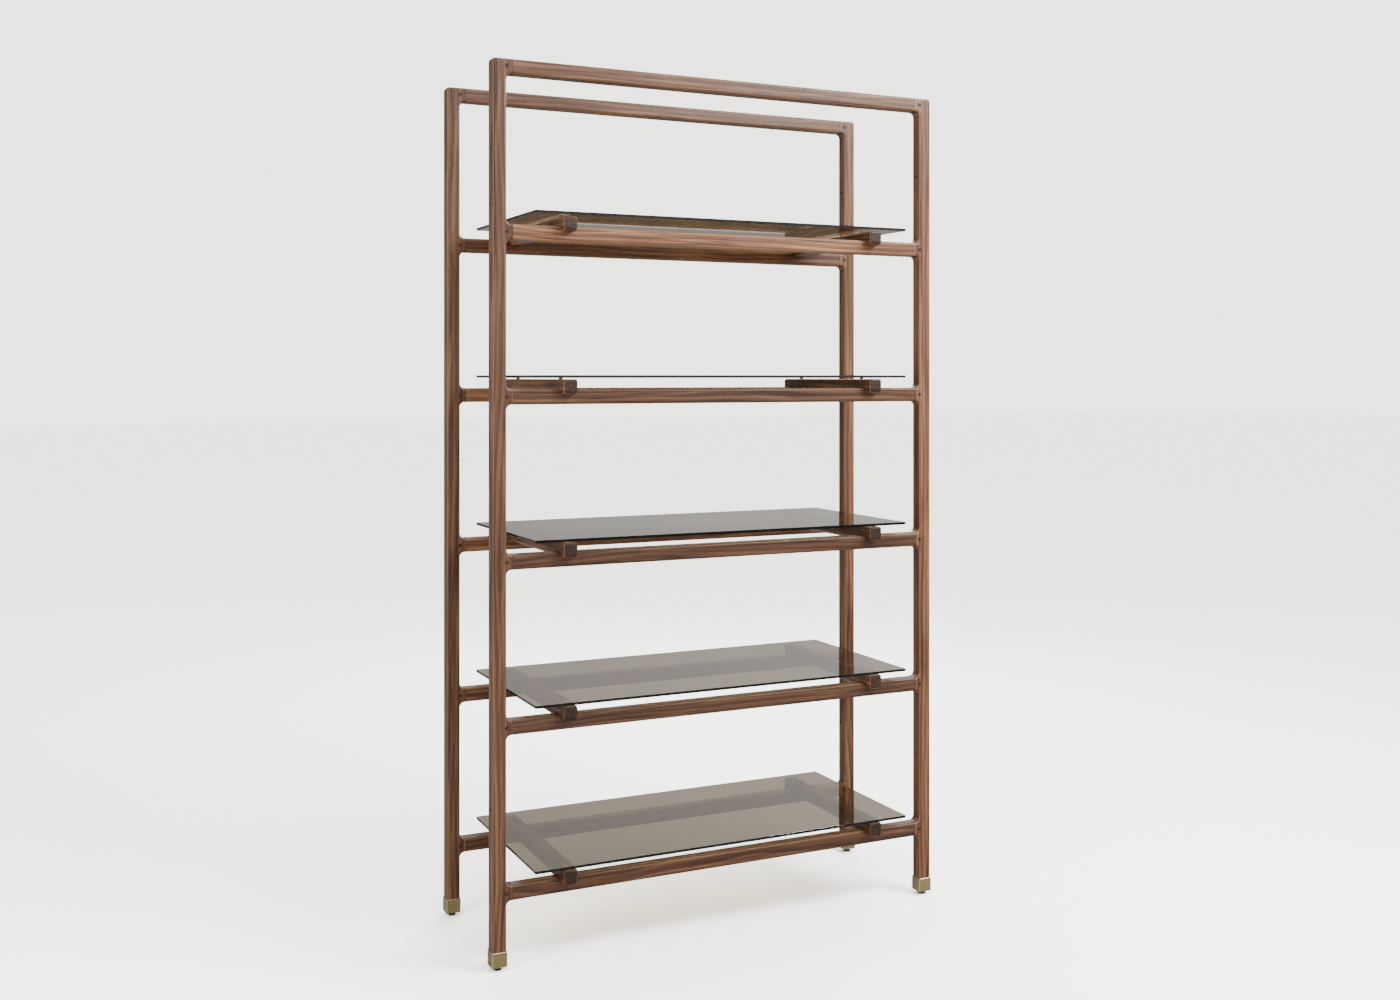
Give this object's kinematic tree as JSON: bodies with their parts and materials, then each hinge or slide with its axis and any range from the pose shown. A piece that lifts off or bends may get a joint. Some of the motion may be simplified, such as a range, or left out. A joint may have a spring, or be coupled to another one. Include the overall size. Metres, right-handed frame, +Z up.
{
  "type": "open display shelf unit",
  "caption": "Free-standing open shelf unit: two timber ladder frames joined by cross bars that carry loose glass shelves, on square brass feet with levelling glides.",
  "frame": {"origin": "floor level, in the middle of the width and of the depth", "axes": "+X to the right seen from the front, +Y to the rear, +Z up"},
  "size_m": [1.147, 0.448, 2],
  "materials": {
    "walnut_stile": "oiled, satin",
    "walnut_rail": "oiled, satin",
    "walnut_bar": "oiled, satin",
    "dark_peg": "oiled end grain",
    "bumper": "soft, clear to grey",
    "tinted_glass": "polished, bronze tint",
    "brushed_brass": "brushed",
    "insert_brass": "as machined",
    "zinc_steel": "zinc plated",
    "black_steel": "black oxide",
    "black_plastic": "matte moulded"
  },
  "bodies": {
    "frame": {"stile_front_left": "walnut_stile", "stile_front_right": "walnut_stile", "rail_front_1": "walnut_rail", "rail_front_2": "walnut_rail", "rail_front_3": "walnut_rail", "rail_front_4": "walnut_rail", "rail_front_5": "walnut_rail", "rail_front_6": "walnut_rail", "joint_pegs_front": "dark_peg", "stile_rear_left": "walnut_stile", "stile_rear_right": "walnut_stile", "rail_rear_1": "walnut_rail", "rail_rear_2": "walnut_rail", "rail_rear_3": "walnut_rail", "rail_rear_4": "walnut_rail", "rail_rear_5": "walnut_rail", "rail_rear_6": "walnut_rail", "joint_pegs_rear": "dark_peg", "cross_bar_left_1": "walnut_bar", "cross_bar_left_2": "walnut_bar", "cross_bar_left_3": "walnut_bar", "cross_bar_left_4": "walnut_bar", "cross_bar_left_5": "walnut_bar", "cross_bar_right_1": "walnut_bar", "cross_bar_right_2": "walnut_bar", "cross_bar_right_3": "walnut_bar", "cross_bar_right_4": "walnut_bar", "cross_bar_right_5": "walnut_bar", "bumpers_1": "bumper", "bumpers_2": "bumper", "bumpers_3": "bumper", "bumpers_4": "bumper", "bumpers_5": "bumper", "bar_screws": "zinc_steel", "bar_inserts": "insert_brass", "stud_inserts": "insert_brass", "ferrule_front_left": "brushed_brass", "ferrule_front_right": "brushed_brass", "ferrule_rear_left": "brushed_brass", "ferrule_rear_right": "brushed_brass"},
    "glass_shelf_1": {"glass_shelf_1": "tinted_glass"},
    "glass_shelf_2": {"glass_shelf_2": "tinted_glass"},
    "glass_shelf_3": {"glass_shelf_3": "tinted_glass"},
    "glass_shelf_4": {"glass_shelf_4": "tinted_glass"},
    "glass_shelf_5": {"glass_shelf_5": "tinted_glass"},
    "glide_stud_front_left": {"glide_stud_front_left": "black_steel"},
    "glide_pad_front_left": {"glide_pad_front_left": "black_plastic"},
    "glide_stud_front_right": {"glide_stud_front_right": "black_steel"},
    "glide_pad_front_right": {"glide_pad_front_right": "black_plastic"},
    "glide_stud_rear_left": {"glide_stud_rear_left": "black_steel"},
    "glide_pad_rear_left": {"glide_pad_rear_left": "black_plastic"},
    "glide_stud_rear_right": {"glide_stud_rear_right": "black_steel"},
    "glide_pad_rear_right": {"glide_pad_rear_right": "black_plastic"}
  },
  "joints": [
    {"name": "glass_1_draw", "type": "slide", "parent": "frame", "child": "glass_shelf_1", "axis": [0, -1, 0], "range_m": [0, 0.47]},
    {"name": "glass_2_draw", "type": "slide", "parent": "frame", "child": "glass_shelf_2", "axis": [0, -1, 0], "range_m": [0, 0.47]},
    {"name": "glass_3_draw", "type": "slide", "parent": "frame", "child": "glass_shelf_3", "axis": [0, -1, 0], "range_m": [0, 0.47]},
    {"name": "glass_4_draw", "type": "slide", "parent": "frame", "child": "glass_shelf_4", "axis": [0, -1, 0], "range_m": [0, 0.47]},
    {"name": "glass_5_draw", "type": "slide", "parent": "frame", "child": "glass_shelf_5", "axis": [0, -1, 0], "range_m": [0, 0.47]},
    {"name": "glide_front_left_height", "type": "slide", "parent": "frame", "child": "glide_pad_front_left", "axis": [0, 0, -1], "range_m": [0, 0.012]},
    {"name": "stud_front_left_turn", "type": "hinge", "parent": "glide_pad_front_left", "child": "glide_stud_front_left", "pos_m": [-0.5555, -0.1815, 0.005], "axis": [0, 0, -1], "range_deg": [0, 3460]},
    {"name": "glide_front_right_height", "type": "slide", "parent": "frame", "child": "glide_pad_front_right", "axis": [0, 0, -1], "range_m": [0, 0.012]},
    {"name": "stud_front_right_turn", "type": "hinge", "parent": "glide_pad_front_right", "child": "glide_stud_front_right", "pos_m": [0.5555, -0.1815, 0.005], "axis": [0, 0, -1], "range_deg": [0, 3460]},
    {"name": "glide_rear_left_height", "type": "slide", "parent": "frame", "child": "glide_pad_rear_left", "axis": [0, 0, -1], "range_m": [0, 0.012]},
    {"name": "stud_rear_left_turn", "type": "hinge", "parent": "glide_pad_rear_left", "child": "glide_stud_rear_left", "pos_m": [-0.5555, 0.1815, 0.005], "axis": [0, 0, -1], "range_deg": [0, 3460]},
    {"name": "glide_rear_right_height", "type": "slide", "parent": "frame", "child": "glide_pad_rear_right", "axis": [0, 0, -1], "range_m": [0, 0.012]},
    {"name": "stud_rear_right_turn", "type": "hinge", "parent": "glide_pad_rear_right", "child": "glide_stud_rear_right", "pos_m": [0.5555, 0.1815, 0.005], "axis": [0, 0, -1], "range_deg": [0, 3460]}
  ],
  "couplings": [
    {"joint": "stud_front_left_turn", "follows": "glide_front_left_height", "rad_per_m": 5026.5},
    {"joint": "stud_front_right_turn", "follows": "glide_front_right_height", "rad_per_m": 5026.5},
    {"joint": "stud_rear_left_turn", "follows": "glide_rear_left_height", "rad_per_m": 5026.5},
    {"joint": "stud_rear_right_turn", "follows": "glide_rear_right_height", "rad_per_m": 5026.5}
  ]
}
